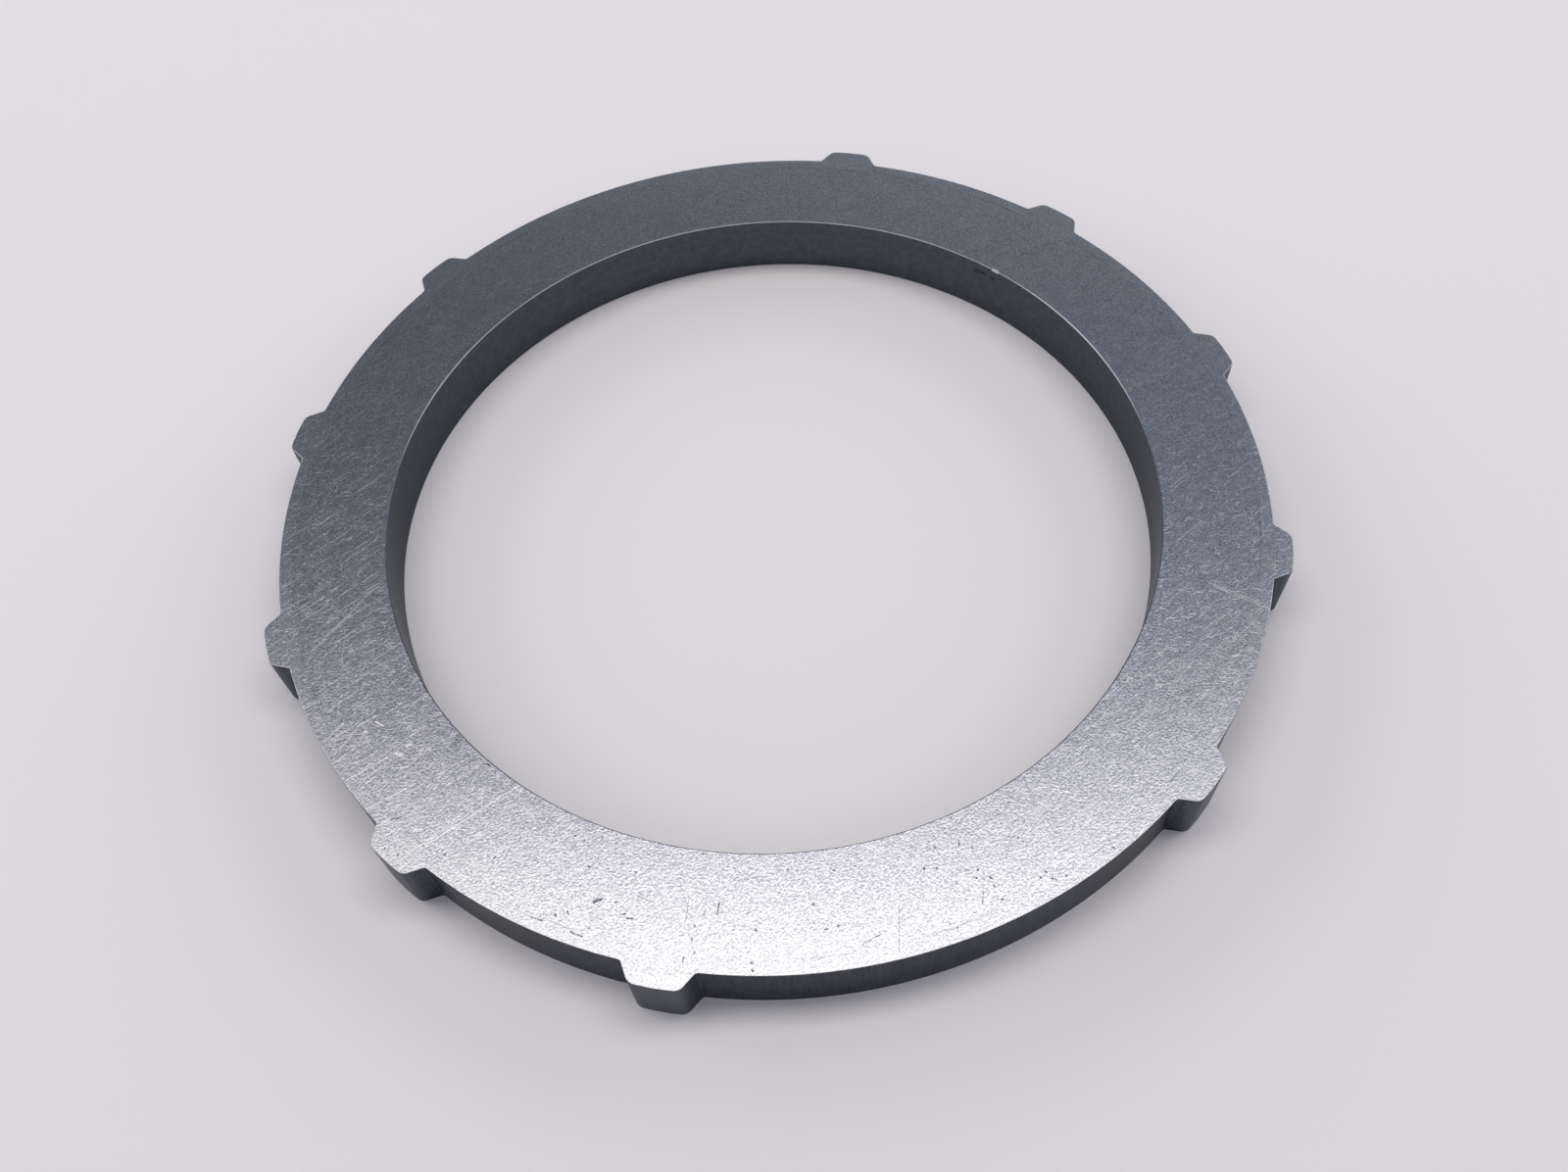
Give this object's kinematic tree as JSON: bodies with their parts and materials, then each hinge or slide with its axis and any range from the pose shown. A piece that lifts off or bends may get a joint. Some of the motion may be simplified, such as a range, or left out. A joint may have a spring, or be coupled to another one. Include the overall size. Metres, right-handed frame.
{
  "type": "clutch pressure plate",
  "caption": "Flat ground steel ring with short trapezoid drive lugs round its rim; the thick end plate of a wet multi-plate clutch, which takes the clamping load of the pack.",
  "frame": {"origin": "centre of the lower ground face, on the clutch axis", "axes": "+Z along the clutch axis, out of the upper face; +X through the middle of a drive lug; the two bare steps lie at +Y and -Y"},
  "size_m": [0.1522, 0.147, 0.01],
  "materials": {
    "ground_steel": "surface-ground faces with fine scratches and small pits; sheared rim and turned bore left darker"
  },
  "bodies": {
    "root": {"pressure_plate": "ground_steel"}
  },
  "joints": []
}
